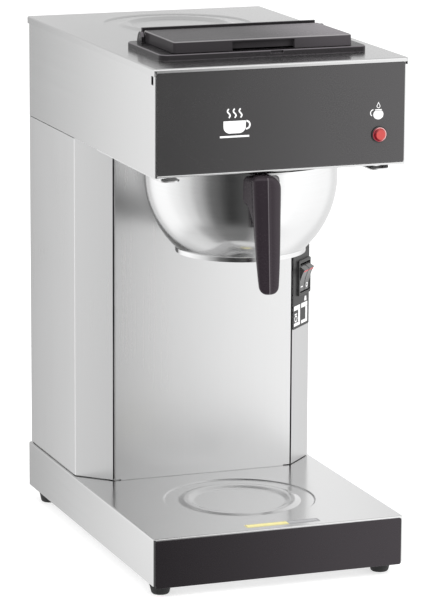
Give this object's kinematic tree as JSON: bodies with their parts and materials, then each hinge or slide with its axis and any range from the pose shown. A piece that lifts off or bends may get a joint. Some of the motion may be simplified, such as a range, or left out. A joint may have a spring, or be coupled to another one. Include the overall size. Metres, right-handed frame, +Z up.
{
  "type": "commercial coffee brewer",
  "caption": "Stainless pour-over coffee brewer with slide-out brew funnel, hinged fill lid, rocker switches and two decanter warmers.",
  "frame": {"origin": "middle of the overall width and depth, on the surface that the feet stand on", "axes": "+Z up, -Y towards the front with the funnel handle, +X to the right seen from the front"},
  "size_m": [0.2204, 0.3569, 0.4509],
  "materials": {
    "stainless_sheet": "satin brushed",
    "funnel_steel": "polished",
    "inner_steel": "mill finish",
    "front_panel_grey": "satin",
    "lid_plastic": "fine moulded grain",
    "handle_plastic": "gloss moulded",
    "switch_black": "semi-gloss moulded",
    "overlay_black": null,
    "foot_rubber": "matt",
    "zinc_fastener": "zinc plated",
    "lens_red": "clear moulded",
    "lamp_black": "moulded",
    "silicone": "smooth",
    "gasket_red": "smooth",
    "element_metal": "oxidised",
    "terminal_white": "moulded",
    "wire_sheath": "sleeved",
    "gland_black": "moulded",
    "sticker_film": "blank two-tone film"
  },
  "bodies": {
    "chassis": {"base_housing": "stainless_sheet", "base_front_panel": "front_panel_grey", "base_bottom_plate": "inner_steel", "bottom_plate_screws": "zinc_fastener", "feet": "foot_rubber", "foot_screws": "zinc_fastener", "foot_nuts": "zinc_fastener", "column_front_panel": "stainless_sheet", "column_left_panel": "stainless_sheet", "column_right_panel": "stainless_sheet", "rear_panel": "stainless_sheet", "rear_screws": "zinc_fastener", "hood_shell": "stainless_sheet", "hood_bottom_plate": "stainless_sheet", "hood_front_panel": "front_panel_grey", "top_panel": "stainless_sheet", "lid_frame": "lid_plastic", "lid_hinge_pins": "zinc_fastener", "funnel_rails": "inner_steel", "rail_screws": "zinc_fastener", "spray_head": "inner_steel", "spray_nut": "silicone", "spray_tube": "silicone", "fill_tube": "silicone", "fill_basin": "inner_steel", "tank_body": "inner_steel", "tank_gasket": "gasket_red", "tank_lid": "inner_steel", "tank_bolts": "zinc_fastener", "tank_nuts": "zinc_fastener", "tank_supports": "inner_steel", "tank_heater": "element_metal", "thermostat": "terminal_white", "limit_thermostat": "terminal_white", "lower_warmer_element": "element_metal", "lower_warmer_clamp": "inner_steel", "upper_warmer_element": "element_metal", "upper_warmer_clamp": "inner_steel", "switch_overlay": "overlay_black", "switch_housing": "switch_black", "switch_pin": "zinc_fastener", "lamp_body": "lamp_black", "lamp_lens": "lens_red", "lamp_nut": "zinc_fastener", "cord_gland": "gland_black", "terminal_block": "terminal_white", "ground_stud": "zinc_fastener", "supply_wires": "wire_sheath", "switch_wires": "wire_sheath", "lamp_wires": "wire_sheath", "deck_sticker": "sticker_film"},
    "funnel": {"funnel_body": "funnel_steel", "funnel_handle": "handle_plastic", "handle_screws": "zinc_fastener", "filter_rack": "inner_steel"},
    "lid": {"lid_cover": "lid_plastic"},
    "rocker_left": {"rocker_left": "switch_black"},
    "rocker_right": {"rocker_right": "switch_black"}
  },
  "joints": [
    {"name": "funnel_slide", "type": "slide", "parent": "chassis", "child": "funnel", "axis": [0, -1, 0], "range_m": [0, 0.2]},
    {"name": "lid_hinge", "type": "hinge", "parent": "chassis", "child": "lid", "pos_m": [0, -0.04411, 0.4446], "axis": [-1, 0, 0], "range_deg": [0, 95]},
    {"name": "rocker_left_hinge", "type": "hinge", "parent": "chassis", "child": "rocker_left", "pos_m": [0.09457, 0.04107, 0.2156], "axis": [-0.7071, -0.7071, 0], "range_deg": [0, 28]},
    {"name": "rocker_right_hinge", "type": "hinge", "parent": "chassis", "child": "rocker_right", "pos_m": [0.09457, 0.04107, 0.2156], "axis": [-0.7071, -0.7071, 0], "range_deg": [0, 28]}
  ]
}
